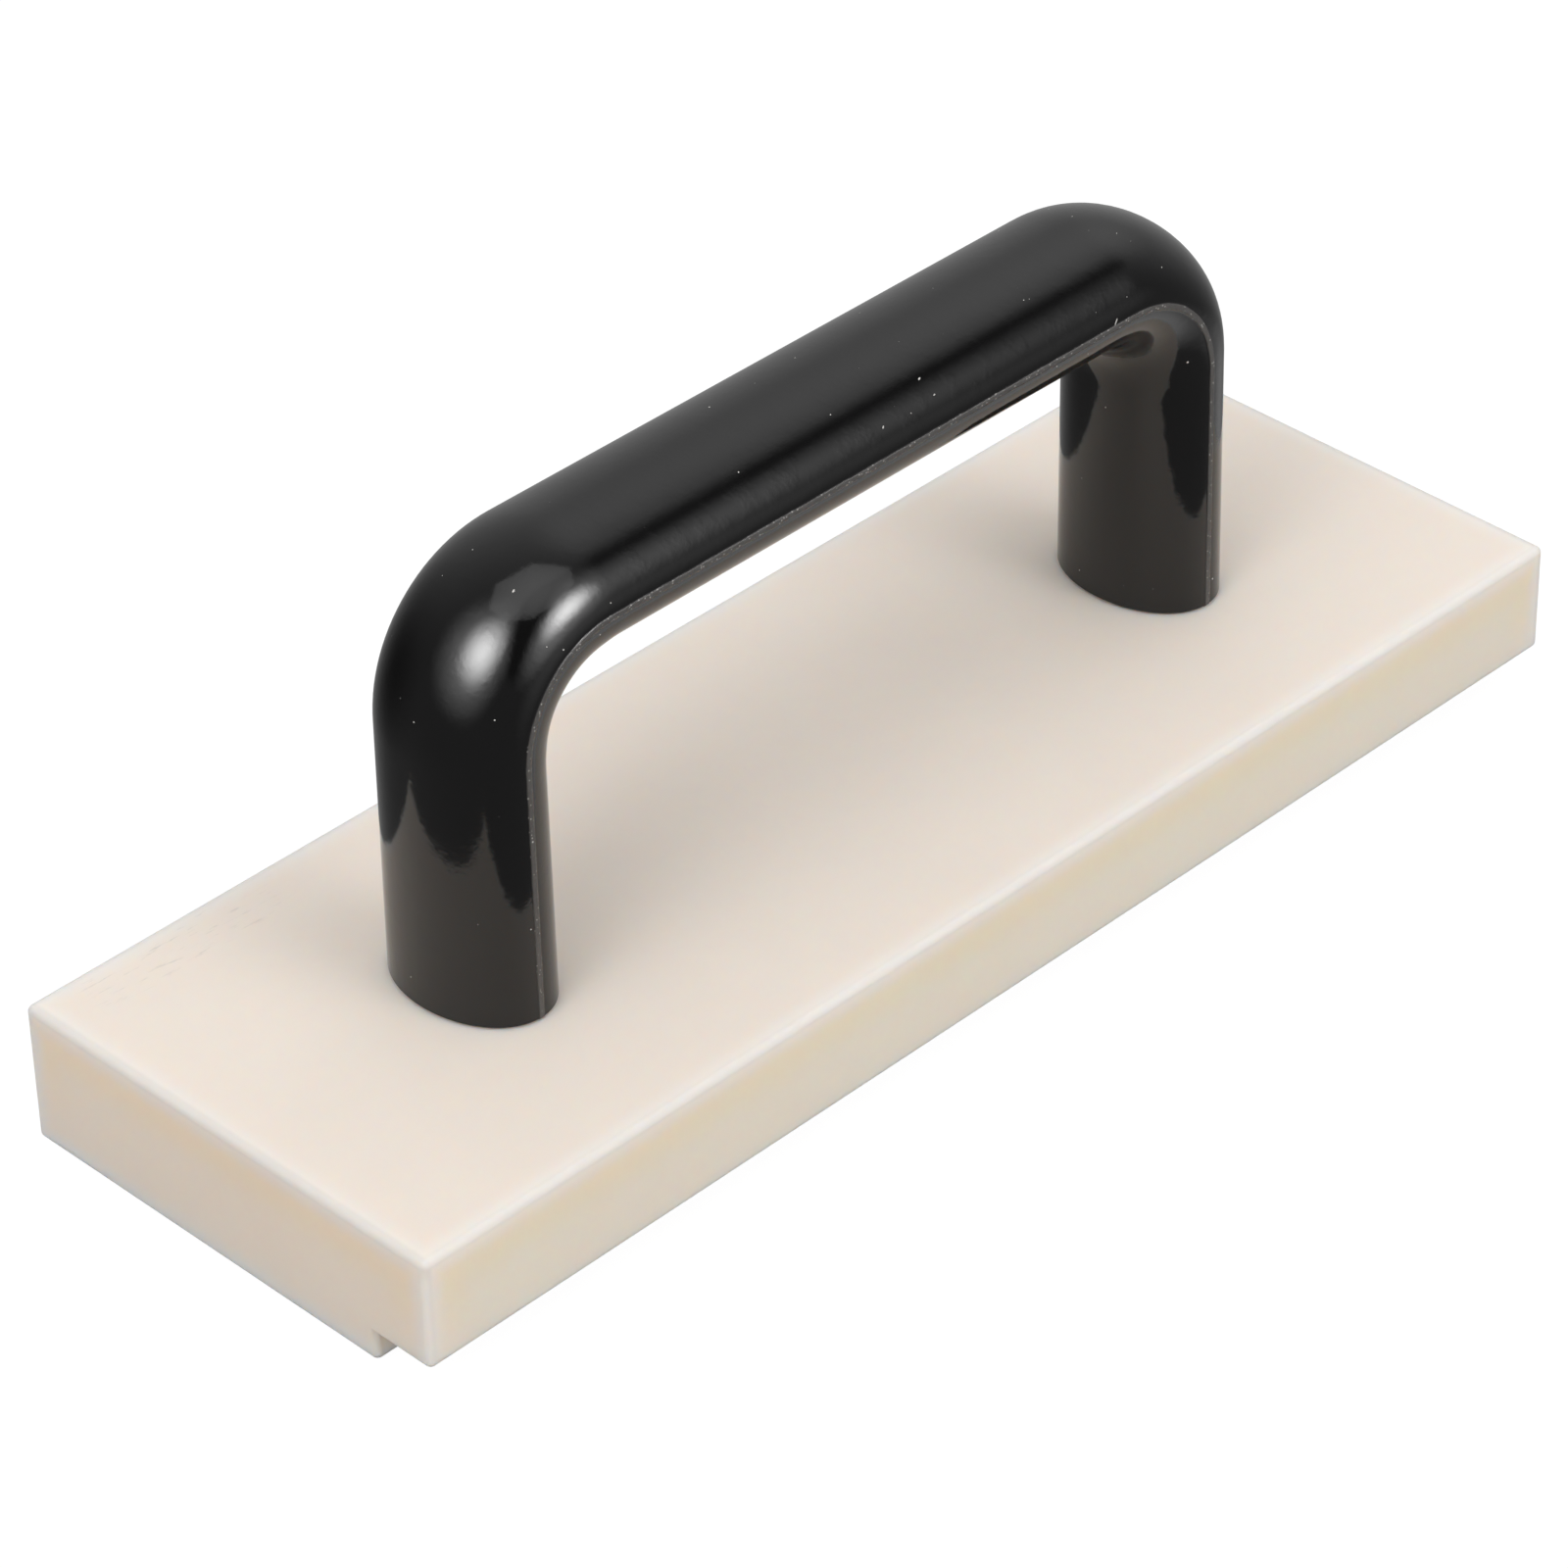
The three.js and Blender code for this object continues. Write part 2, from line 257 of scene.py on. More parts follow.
def bowHandleTree():
    tree, size, sink = geometryTree("bowHandleSweep", {
        "Hole offset": 0.0, "Foot height": 0.0, "Grip centre height": 0.0, "Grip width": 0.0, "Grip thickness": 0.0,
        "Bend radius": 0.0, "Inner bend radius": 0.0, "Foot width gain": 0.0, "Foot thickness gain": 0.0,
        "Foot ease": 0.0, "Seam height": 0.0, "Seam width": 0.0, "Seam raggedness": 0.0, "Pocket radius": 0.0,
        "Pocket depth": 0.0, "Tip radius": 0.0, "Tip depth": 0.0, "Points round": 3, "Point spacing": 0.0, "Seed": 0})
    hole, base = size["Hole offset"], size["Foot height"]
    gripZ, bend = size["Grip centre height"], size["Bend radius"]
    halfWide, halfThick = size["Grip width"] / 2.0, size["Grip thickness"] / 2.0
    ease = size["Foot ease"]

    # centreline: four corner points, the upper two rounded
    index = addNode(tree, "GeometryNodeInputIndex")
    line = addNode(tree, "GeometryNodeMeshLine", {"Count": 4})
    fromMiddle = index - 1.5
    upper = 1.5 - calc(tree, "ABSOLUTE", fromMiddle)
    corner = join(tree, calc(tree, "SIGN", fromMiddle) * hole, 0.0, base + ease + upper * (gripZ - base - ease))
    bow = addNode(tree, "GeometryNodeSetPosition", {"Geometry": line, "Position": corner})
    bow = addNode(tree, "GeometryNodeMeshToCurve", {"Mesh": bow})
    bow = addNode(tree, "GeometryNodeFilletCurve", {"Curve": bow, "Count": 40, "Radius": bend}, mode="POLY")
    bow = addNode(tree, "GeometryNodeResampleCurve", {"Curve": bow, "Length": size["Point spacing"]}, mode="LENGTH")
    bow = addNode(tree, "GeometryNodeSetCurveNormal", {"Curve": bow}, mode="MINIMUM_TWIST")

    # oval section: points crowd towards the seam, which stands a little proud
    roundTurn = index / size["Points round"] * (2 * math.pi)
    around = roundTurn - 0.42 * calc(tree, "SINE", roundTurn * 2.0)
    section = addNode(tree, "GeometryNodeCurvePrimitiveCircle", {"Resolution": size["Points round"]}, mode="RADIUS")
    wide, thick = calc(tree, "COSINE", around) * halfWide, calc(tree, "SINE", around) * halfThick
    section = addNode(tree, "GeometryNodeSetPosition", {"Geometry": section,
                                                        "Position": join(tree, thick, wide, 0.0)})
    section = addNode(tree, "GeometryNodeStoreNamedAttribute", {"Geometry": section, "Name": "seamOffset",
                                                                "Value": thick}, data_type="FLOAT", domain="POINT")
    tube = addNode(tree, "GeometryNodeCurveToMesh", {"Curve": bow, "Profile Curve": section})

    # seam: a flat ground land with ragged sides
    place = addNode(tree, "GeometryNodeInputPosition")
    x, y, z = split(tree, place)
    offset = addNode(tree, "GeometryNodeInputNamedAttribute", {"Name": "seamOffset"}, data_type="FLOAT")
    jitter = addNode(tree, "ShaderNodeTexNoise", {"Vector": place, "W": calc(tree, "MULTIPLY", size["Seed"], 1.0),
                                                  "Scale": 700.0, "Detail": 2.0}, noise_dimensions="4D")
    halfLand = size["Seam width"] / 2.0 + (jitter - 0.5) * size["Seam raggedness"]
    landShare = ramp(calc(tree, "ABSOLUTE", offset), halfLand + 0.16 * mm, halfLand)
    lift = landShare * size["Seam height"] * (0.75 + jitter * 0.5)
    proud = join(tree, 0.0, calc(tree, "SIGN", y) * lift, 0.0)
    tube = addNode(tree, "GeometryNodeSetPosition", {"Geometry": tube, "Offset": proud})
    tube = addNode(tree, "GeometryNodeStoreNamedAttribute", {"Geometry": tube, "Name": "seamShare",
                                                             "Value": landShare}, data_type="FLOAT", domain="POINT")

    # legs swell towards the feet, and the inside of each bend is filled out to a wider radius
    legTop, gripEnd, bare = gripZ - bend, hole - bend, bend - halfThick
    run = larger(size["Inner bend radius"] - bare, 0.0)
    wideRadius = bare + run
    side, absX = calc(tree, "SIGN", x), calc(tree, "ABSOLUTE", x)
    out, up = absX - gripEnd, z - legTop
    onLeg = calc(tree, "LESS_THAN", up, 0.0)
    onGrip = calc(tree, "LESS_THAN", out, 0.0)

    def straightEase(distance):
        return wideRadius - root(square(wideRadius) - square(larger(run - distance, 0.0)))

    down = -up / (legTop - base)
    inwardLeg = larger(hole - absX, 0.0) / halfThick
    legX = hole + (absX - hole) * (1.0 + down * size["Foot thickness gain"] / size["Grip thickness"])
    legX = legX - inwardLeg * straightEase(-up)
    legY = y * (1.0 + down * size["Foot width gain"] / size["Grip width"])
    gripShiftZ = z - larger(gripZ - z, 0.0) / halfThick * straightEase(-out)
    far = larger(root(square(out) + square(up)), 1e-6)
    angle = calc(tree, "ARCTAN2", up, out)
    along = -run * (calc(tree, "COSINE", angle) + calc(tree, "SINE", angle))
    reach = root(square(along) - 2.0 * square(run) + square(wideRadius))
    pull = larger(bend - far, 0.0) / halfThick * (bare - along - reach)
    bendX, bendZ = gripEnd + out * (far - pull) / far, legTop + up * (far - pull) / far
    newX = pick(onLeg, legX, pick(onGrip, absX, bendX))
    newZ = pick(onLeg, z, pick(onGrip, gripShiftZ, bendZ))
    newY = pick(onLeg, legY, y)
    tube = addNode(tree, "GeometryNodeSetPosition", {"Geometry": tube,
                                                     "Position": join(tree, side * newX, newY, newZ)})

    # feet: an eased rim, then the insert pocket and the room for the screw's tip, drawn out ring by ring
    faces = addNode(tree, "GeometryNodeInputMeshEdgeNeighbors")
    ring = addNode(tree, "FunctionNodeCompare", {"A": faces, "B": 1}, data_type="INT", operation="EQUAL")
    legSide = calc(tree, "SIGN", x)
    fromAxis = absX - hole
    radius = larger(root(square(fromAxis) + square(y)), 1e-7)
    pocket, tip = size["Pocket radius"], size["Tip radius"]
    pocketEnd, tipEnd = base + size["Pocket depth"], base + size["Tip depth"]
    rings = [(radius - ease, base), (pocket, base), (pocket, pocketEnd), (tip, pocketEnd), (tip, tipEnd),
             (tip * 0.0, tipEnd)]
    for newRadius, height in rings:
        extrude = tree.nodes.new("GeometryNodeExtrudeMesh")
        extrude.mode = "EDGES"
        feed(tree, extrude.inputs["Mesh"], tube)
        feed(tree, extrude.inputs["Selection"], ring)
        extrude.inputs["Offset Scale"].default_value = 0.0
        ring = nodeValue(tree, extrude.outputs["Top"])
        scale = newRadius / radius
        target = join(tree, legSide * (hole + fromAxis * scale), y * scale, height)
        tube = addNode(tree, "GeometryNodeSetPosition", {"Geometry": nodeValue(tree, extrude.outputs["Mesh"]),
                                                         "Selection": ring, "Position": target})
    tube = addNode(tree, "GeometryNodeMergeByDistance", {"Geometry": tube, "Distance": 0.001 * mm})
    closeTree(tree, tube, size["Material"], sink)
    return tree


# materials

def blankMaterial(name, **sockets):
    # a Principled surface whose constant settings stand on its own sockets
    material = bpy.data.materials.new(name)
    material.use_nodes = True
    tree = material.node_tree
    shader = tree.nodes["Principled BSDF"]
    for key, value in sockets.items():
        shader.inputs[key.replace("_", " ")].default_value = value
    return material, tree, shader


def objectPoint(tree):
    # Object coordinates in millimetres
    here = addNode(tree, "ShaderNodeTexCoord", output=3)
    return addNode(tree, "ShaderNodeMapping", {"Vector": here, "Scale": (1 / mm, 1 / mm, 1 / mm)},
                   vector_type="POINT")


def stretched(point, scale, turn=(0, 0, 0)):
    # texture space whose features are 1/scale long on each axis
    turned = addNode(point.tree, "ShaderNodeMapping", {"Vector": point, "Rotation": turn}, vector_type="POINT")
    return vectorCalc(point.tree, "MULTIPLY", turned, scale)


def noise(point, scale, detail=3.0, roughness=0.5):
    return addNode(point.tree, "ShaderNodeTexNoise", {"Vector": point, "Scale": scale, "Detail": detail,
                                                      "Roughness": roughness})


def cells(point, scale, output=0):
    return addNode(point.tree, "ShaderNodeTexVoronoi", {"Vector": point, "Scale": scale}, output=output,
                   feature="F1")


def specks(point, spacing, size, share):
    # round spots of a given size in mm, present in only a share of the cells
    distance = cells(point, 1.0 / spacing)
    chance, growth = splitColour(cells(point, 1.0 / spacing, output=1))[:2]
    radius = size / spacing * (0.4 + growth * 0.6)
    return calc(point.tree, "LESS_THAN", chance, share) * ramp(distance, radius, radius * 0.6)


def splitColour(colour):
    node = colour.tree.nodes.new("ShaderNodeSeparateColor")
    feed(colour.tree, node.inputs[0], colour)
    return [nodeValue(colour.tree, output) for output in node.outputs]


def blend(factor, first, second):
    # colour mix; first and second are colours or values
    tree = factor.tree
    node = tree.nodes.new("ShaderNodeMix")
    node.data_type = "RGBA"
    feed(tree, node.inputs[0], factor)
    for slot, value in ((6, first), (7, second)):
        feed(tree, node.inputs[slot], value if isinstance(value, nodeValue) else (*value, 1.0))
    return nodeValue(tree, node.outputs[2])


def raised(height):
    # bump normal from a height in mm
    return addNode(height.tree, "ShaderNodeBump", {"Height": height, "Strength": 1.0, "Distance": mm})


def connect(value, shader, socket):
    value.tree.links.new(value.socket, shader.inputs[socket])


nylon = {
    "face": (0.865, 0.78, 0.70),
    "side": (0.95, 0.82, 0.695),        # painted glow: the sawn sides get a yellower colour than the planed faces, standing in for light that comes in through the top
    "paintedSideGlow": (0.96, 0.81, 0.635),         # painted glow of light that comes in through the top, deepest just inside the upper edges of the sides
    "pale": (0.86, 0.832, 0.808),        # painted glow along the edges, where little plastic is behind the surface and light comes back out paler
    "scuff": (0.52, 0.49, 0.46),
    "glow": (3.0 * mm, 2.3 * mm, 1.7 * mm),
    "paleReach": 3.9,                    # mm
    "rubbedAlong": (-97.0, -58.0),       # where the top is rubbed, in mm from its centre
    "rubbedAcross": (25.5, 34.0),
    "edgeShade": 0.09,                   # darkens the upper rounded edges, which the studio light burns out
    "endShade": 0.07,                    # and the end faces, which it lights too evenly
    "roughness": 0.46,
}


def nylonMaterial():
    material, tree, shader = blankMaterial("castNylon", IOR=1.53, Specular_IOR_Level=0.10, Subsurface_Weight=1.0,
                                           Subsurface_Scale=1.0)
    shader.inputs["Subsurface Radius"].default_value = nylon["glow"]
    point = objectPoint(tree)
    x, y, z = split(tree, point)
    half = (boardHigh - boardLow) * 500
    toEnd = half.x - calc(tree, "ABSOLUTE", x)
    toSide = half.y - calc(tree, "ABSOLUTE", y)
    toFace = half.z - calc(tree, "ABSOLUTE", z - half.z)
    edge = larger(smaller(toEnd, toSide), smaller(larger(toEnd, toSide), toFace))
    cloud = noise(point, 0.045, 3.0)
    mottle = noise(point, 0.35, 4.0, 0.6)
    grain = noise(point, 3.5, 3.0, 0.6)
    wander = edge + (mottle - 0.5) * 1.2
    onSide = ramp(toFace, 0.5, 1.5)
    # painted glow: a pale band along all edges, standing in for light that comes back out of the plastic near them
    pale = ramp(wander, nylon["paleReach"], 0.2)
    # painted glow: a yellower band just inside the upper edges of the sides, standing in for light that enters
    # through the top
    paintedSideGlow = ramp(wander, 1.6, 3.4) * ramp(wander, 9.0, 4.0) * ramp(z, 6.0, 15.0)
    # painted glow: the sides blend from the face colour towards a yellower one, more of it towards the top, for light
    # that comes in through the top
    sideColour = blend(ramp(z, 0.0, 12.0) * 0.6 + 0.4, nylon["face"], nylon["side"])
    sideColour = blend(paintedSideGlow, sideColour, nylon["paintedSideGlow"])
    colour = blend(onSide, nylon["face"], sideColour)
    colour = blend(pale * 0.72, colour, nylon["pale"])
    # these two make up for the light; the plastic itself isn't darker there
    rounded = ramp(edge, 1.5, 0.3) * ramp(z, 16.5, 19.0)
    onEnd = ramp(toEnd, 1.5, 0.5)
    shade = 0.965 + 0.05 * cloud + 0.02 * mottle + 0.012 * grain
    shade = shade - nylon["edgeShade"] * rounded - nylon["endShade"] * onEnd
    colour = vectorCalc(tree, "SCALE", colour)
    feed(tree, colour.socket.node.inputs["Scale"], shade)
    # rubbed marks along the back edge of the top, near one end
    streak = noise(stretched(point, (0.22, 1.6, 1.0), (0, 0, math.radians(3))), 1.0, 4.0, 0.65)
    start, end = nylon["rubbedAlong"]
    near, far = nylon["rubbedAcross"]
    rubbedZone = ramp(x, end, end - 14.0) * ramp(x, start, start + 7.0) * ramp(y, near, near + 2.5)
    rubbedZone = rubbedZone * ramp(y, far, far - 1.5) * ramp(z, 19.5, 19.9)
    rubbed = ramp(streak, 0.56, 0.70) * rubbedZone * 0.42
    colour = blend(rubbed, colour, nylon["scuff"])
    # a few dark specks sunk in the plastic, and long fine scratches on the working face
    dust = specks(point, 16.0, 0.28, 0.35)
    colour = blend(dust * 0.30, colour, nylon["scuff"])
    sole = ramp(z, 0.6, 0.05)
    dragLines = noise(stretched(point, (1.9, 0.05, 1.0), (0, 0, math.radians(4))), 1.0, 5.0, 0.7)
    dragged = ramp(dragLines, 0.60, 0.70) * sole
    colour = blend(dragged * 0.36, colour, nylon["scuff"])
    connect(colour, shader, "Base Color")
    rough = nylon["roughness"] + (grain - 0.5) * 0.16 + (cloud - 0.5) * 0.10 + pale * 0.12 + dragged * 0.12
    connect(rough, shader, "Roughness")
    # planed faces: faint long tool marks on the flats, upright saw marks on the edges
    planed = noise(stretched(point, (0.04, 2.2, 2.2)), 1.0, 4.0, 0.6)
    sawn = noise(stretched(point, (1.4, 1.4, 0.05)), 1.0, 4.0, 0.6)
    height = grain * 0.012 + pick(onSide, sawn * 0.016, planed * 0.010) + rubbed * 0.02 - dragged * 0.02
    connect(raised(height), shader, "Normal")
    return material


phenolic = {
    "body": (0.0036, 0.0035, 0.0036),
    "seam": (0.085, 0.080, 0.076),
    "seamSpark": (0.62, 0.60, 0.57),
    "dust": (0.70, 0.68, 0.65),
    "roughness": 0.085,
    "ripple": 0.0014,                    # mm, all over
    "ripplePatch": 0.0085,               # mm more, in patches
}


def phenolicMaterial():
    material, tree, shader = blankMaterial("phenolicMoulding", IOR=1.5)
    point = objectPoint(tree)
    seam = addNode(tree, "ShaderNodeAttribute", {}, output=2, attribute_type="GEOMETRY", attribute_name="seamShare")
    cloud = noise(point, 0.06, 3.0)
    peel = noise(point, 1.6, 2.0, 0.5)
    fine = noise(point, 5.0, 3.0, 0.6)
    coarse = noise(point, 2.6, 5.0, 0.75)
    # dust caught in the polish: round specks and a few short bright nicks
    dust = larger(specks(point, 1.9, 0.13, 0.26), specks(point, 5.0, 0.20, 0.30))
    nickA = specks(stretched(point, (0.22, 1.0, 1.0), (0.5, 0.9, 0.4)), 2.2, 0.15, 0.20)
    nickB = specks(stretched(point, (1.0, 0.25, 1.0), (0.9, 0.3, 1.1)), 2.4, 0.15, 0.20)
    marks = larger(dust, larger(nickA, nickB))
    hair = specks(stretched(point, (0.03, 1.0, 1.0), (0.2, 0.5, 0.1)), 2.2, 0.07, 0.10)
    sparkle = specks(point, 0.42, 0.16, 0.45) * seam
    body = blend(cloud, phenolic["body"], [v * 1.5 for v in phenolic["body"]])
    body = blend(seam * (0.35 + coarse * 0.9), body, phenolic["seam"])
    body = blend(sparkle * 0.75, body, phenolic["seamSpark"])
    body = blend(marks * 0.95, body, phenolic["dust"])
    body = blend(hair * 0.10, body, phenolic["dust"])
    connect(body, shader, "Base Color")
    rough = phenolic["roughness"] + (cloud - 0.5) * 0.04 + (fine - 0.5) * 0.03
    rough = rough + seam * 0.42 + marks * 0.4 + hair * 0.15
    connect(rough, shader, "Roughness")
    patches = ramp(noise(point, 0.35, 2.0, 0.5), 0.40, 0.66)
    height = peel * (phenolic["ripple"] + patches * phenolic["ripplePatch"]) + fine * (0.0008 + patches * 0.0035)
    height = height + marks * 0.02 - hair * 0.004 + seam * coarse * 0.10
    connect(raised(height), shader, "Normal")
    return material


phenolicLook = phenolicMaterial()
handle = growPiece("bowHandle", bowHandleTree(), {
    "Hole offset": screwX,
    "Foot height": handleLow.z,
    "Grip centre height": handleHigh.z - bowHandle["gripThickness"] / 2,
    "Grip width": bowHandle["gripWidth"],
    "Grip thickness": bowHandle["gripThickness"],
    "Bend radius": bowHandle["bendRadius"],
    "Inner bend radius": bowHandle["innerBendRadius"],
    "Foot width gain": bowHandle["footWidthGain"],
    "Foot thickness gain": bowHandle["footThicknessGain"],
    "Foot ease": bowHandle["footEase"],
    "Seam height": bowHandle["partingHeight"],
    "Seam width": bowHandle["partingWidth"],
    "Seam raggedness": bowHandle["partingRagged"],
    "Pocket radius": bowHandle["pocketRadius"],
    "Pocket depth": bowHandle["pocketDepth"],
    "Tip radius": bowHandle["tipRadius"],
    "Tip depth": bowHandle["tipDepth"],
    "Points round": bowHandle["pointsRound"],
    "Point spacing": bowHandle["pointSpacing"],
    "Seed": 3}, phenolicLook)
turnOutward(handle)
shadeByAngle(handle, 42)
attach(handle, "root")
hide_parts("bow_handle")
print("bow handle made")


# sole board

soleBoard = {
    "edgeRadius": 0.9 * mm,
    "stepWidth": 9.3 * mm,
    "stepDepth": 4.2 * mm,
    "edgeSegments": 6,
    "counterboreRadius": 7.0 * mm,
    "counterboreDepth": 11.35 * mm,
    "holeRadius": 3.3 * mm,
    "mouthChamfer": 0.5 * mm,
    "holeFacets": 96,
}


def turnedMesh(name, profile, facets):
    # profile of (radius, height) pairs from axis to axis, turned round Z
    work = bmesh.new()
    rings = []
    for radius, height in profile:
        if radius < 1e-9:
            rings.append([work.verts.new((0, 0, height))])
            continue
        turns = [2 * math.pi * i / facets for i in range(facets)]
        rings.append([work.verts.new((radius * math.cos(a), radius * math.sin(a), height)) for a in turns])
    for low, high in zip(rings, rings[1:]):
        for i in range(facets):
            j = (i + 1) % facets
            if len(low) == 1:
                work.faces.new((low[0], high[j], high[i]))
            elif len(high) == 1:
                work.faces.new((low[i], low[j], high[0]))
            else:
                work.faces.new((low[i], low[j], high[j], high[i]))
    bmesh.ops.recalc_face_normals(work, faces=work.faces)
    mesh = bpy.data.meshes.new(name)
    work.to_mesh(mesh)
    work.free()
    return mesh


def boardPiece(material):
    low, high = boardLow, boardHigh
    stepY, stepZ = low.y + soleBoard["stepWidth"], low.z + soleBoard["stepDepth"]
    outline = [(stepY, low.z), (high.y, low.z), (high.y, high.z), (low.y, high.z), (low.y, stepZ), (stepY, stepZ)]
    work = bmesh.new()
    ends = [[work.verts.new((x, y, z)) for y, z in outline] for x in (low.x, high.x)]
    work.faces.new(ends[0])
    work.faces.new(reversed(ends[1]))
    for i in range(len(outline)):
        j = (i + 1) % len(outline)
        work.faces.new((ends[0][j], ends[0][i], ends[1][i], ends[1][j]))
    bmesh.ops.recalc_face_normals(work, faces=work.faces)
    outside = [edge for edge in work.edges if edge.is_convex]
    bmesh.ops.bevel(work, geom=outside, offset=soleBoard["edgeRadius"], offset_type="OFFSET",
                    segments=soleBoard["edgeSegments"], profile=0.5, affect="EDGES", clamp_overlap=True)
    mesh = bpy.data.meshes.new("soleBoard")
    work.to_mesh(mesh)
    work.free()
    blank = newPiece("boardBlank", mesh, material)

    past = 1 * mm
    mouth, deep = soleBoard["counterboreRadius"] + soleBoard["mouthChamfer"], soleBoard["counterboreDepth"]
    profile = [(0, -past), (mouth, -past), (mouth, 0), (soleBoard["counterboreRadius"], soleBoard["mouthChamfer"]),
               (soleBoard["counterboreRadius"], deep), (soleBoard["holeRadius"], deep),
               (soleBoard["holeRadius"], high.z - 0.3 * mm), (soleBoard["holeRadius"] + 0.3 * mm, high.z),
               (soleBoard["holeRadius"] + 0.3 * mm, high.z + past), (0, high.z + past)]
    cutters = []
    for side in (-1, 1):
        cutter = bpy.data.objects.new("holeCutter", turnedMesh("holeCutter", profile, soleBoard["holeFacets"]))
        cutter.data.transform(Matrix.Translation((side * screwX, 0, 0)))
        scene.collection.objects.link(cutter)
        cut = blank.modifiers.new("hole", "BOOLEAN")
        cut.operation, cut.solver, cut.object = "DIFFERENCE", "EXACT", cutter
        cutters.append(cutter)
    depsgraph = bpy.context.evaluated_depsgraph_get()
    mesh = bpy.data.meshes.new_from_object(blank.evaluated_get(depsgraph), depsgraph=depsgraph)
    for extra in (blank, *cutters):
        bpy.data.objects.remove(extra)
    return newPiece("soleBoard", mesh, material)


board = boardPiece(nylonMaterial())
turnOutward(board)
shadeByAngle(board, 35)
evenNormals = board.modifiers.new("flatFaces", "WEIGHTED_NORMAL")
evenNormals.keep_sharp = True
evenNormals.weight = 90
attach(board, "root")
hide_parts("sole_board")
print("sole board made")


# pieces turned round an axis

def profileMesh(name, rows):
    # each row: radius, height, then how much it is a hexagon, a knurl and a thread
    mesh = bpy.data.meshes.new(name)
    mesh.from_pydata([(row[0], 0, row[1]) for row in rows], [(i, i + 1) for i in range(len(rows) - 1)], [])
    for slot, key in enumerate(("hexShare", "knurlShare", "threadShare")):
        shares = [row[slot + 2] if len(row) > slot + 2 else 0.0 for row in rows]
        mesh.attributes.new(key, "FLOAT", "POINT").data.foreach_set("value", shares)
    return mesh


def turnedTree():
    tree, size, sink = geometryTree("turnedPiece", {"Axis offset": 0.0, "Facets": 3, "Knurls": 1, "Knurl depth": 0.0,
                                                    "Thread pitch": 0.0, "Thread depth": 0.0})
    profile = size["Geometry"]
    rows = addNode(tree, "GeometryNodeAttributeDomainSize", {"Geometry": profile}, component="MESH")
    grid = addNode(tree, "GeometryNodeMeshGrid", {"Vertices X": size["Facets"] + 1.0, "Vertices Y": rows})
    index = addNode(tree, "GeometryNodeInputIndex")
    column = calc(tree, "FLOOR", (index + 0.5) / rows)
    row = index - column * rows

    def fromProfile(value, kind):
        return addNode(tree, "GeometryNodeSampleIndex", {"Geometry": profile, "Value": value, "Index": row},
                       data_type=kind, domain="POINT")

    def share(name):
        named = addNode(tree, "GeometryNodeInputNamedAttribute", {"Name": name}, data_type="FLOAT")
        return fromProfile(named, "FLOAT")

    spot = split(tree, fromProfile(addNode(tree, "GeometryNodeInputPosition"), "FLOAT_VECTOR"))
    radius, height = spot[0], spot[2]
    turn = column / size["Facets"] * (2 * math.pi)
    sector = math.pi / 3
    toCorner = calc(tree, "COSINE", calc(tree, "FLOORED_MODULO", turn + sector / 2, sector) - sector / 2)
    radius = radius * (1.0 + share("hexShare") * (1.0 / toCorner - 1.0))
    wave = 0.5 - 0.5 * calc(tree, "COSINE", turn * size["Knurls"])
    radius = radius - share("knurlShare") * size["Knurl depth"] * wave
    # right-hand thread with a flat on its crest and at its root
    phase = calc(tree, "FRACT", height / size["Thread pitch"] - turn / (2 * math.pi))
    ridge = 1.0 - calc(tree, "ABSOLUTE", phase * 2.0 - 1.0)
    groove = ramp(ridge, 0.86, 0.12, kind="LINEAR")
    radius = radius - share("threadShare") * size["Thread depth"] * groove
    spot = join(tree, size["Axis offset"] + radius * calc(tree, "COSINE", turn), radius * calc(tree, "SINE", turn),
                height)
    turned = addNode(tree, "GeometryNodeSetPosition", {"Geometry": grid, "Position": spot})
    turned = addNode(tree, "GeometryNodeMergeByDistance", {"Geometry": turned, "Distance": 0.001 * mm})
    closeTree(tree, turned, size["Material"], sink)
    return tree


def threadRows(radius, start, end, fadeIn, fadeOut):
    # rows along a thread that runs in and out over the given lengths
    count = max(2, round((end - start) / capScrew["threadPitch"] * capScrew["rowsPerTurn"]))
    heights = [start + (end - start) * i / count for i in range(count + 1)]
    return [(radius, h, 0, 0, min(1.0, (h - start) / fadeIn, (end - h) / fadeOut)) for h in heights]


def finishPiece(piece, replaced, degrees):
    turnOutward(piece)
    shadeByAngle(piece, degrees)
    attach(piece, "root")
    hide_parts(replaced)


def nearAxis(point):
    # distance from the nearer screw axis and height, in mm, and the point with that axis at its centre
    x, y, z = split(point.tree, point)
    across = calc(point.tree, "ABSOLUTE", x) - screwX * 1000
    return root(square(across) + square(y)), z, join(point.tree, across, y, z), across, y


capScrew = {
    "headHeight": 6.0 * mm,
    "headChamfer": 0.5 * mm,
    "hexAcrossFlats": 5.0 * mm,
    "hexDepth": 3.0 * mm,
    "threadRadius": 3.0 * mm,
    "threadPitch": 1.0 * mm,
    "threadDepth": 0.6 * mm,
    "tipChamfer": 0.6 * mm,
    "knurls": 36,
    "knurlDepth": 0.16 * mm,
    "facets": 144,
    "rowsPerTurn": 6,
}


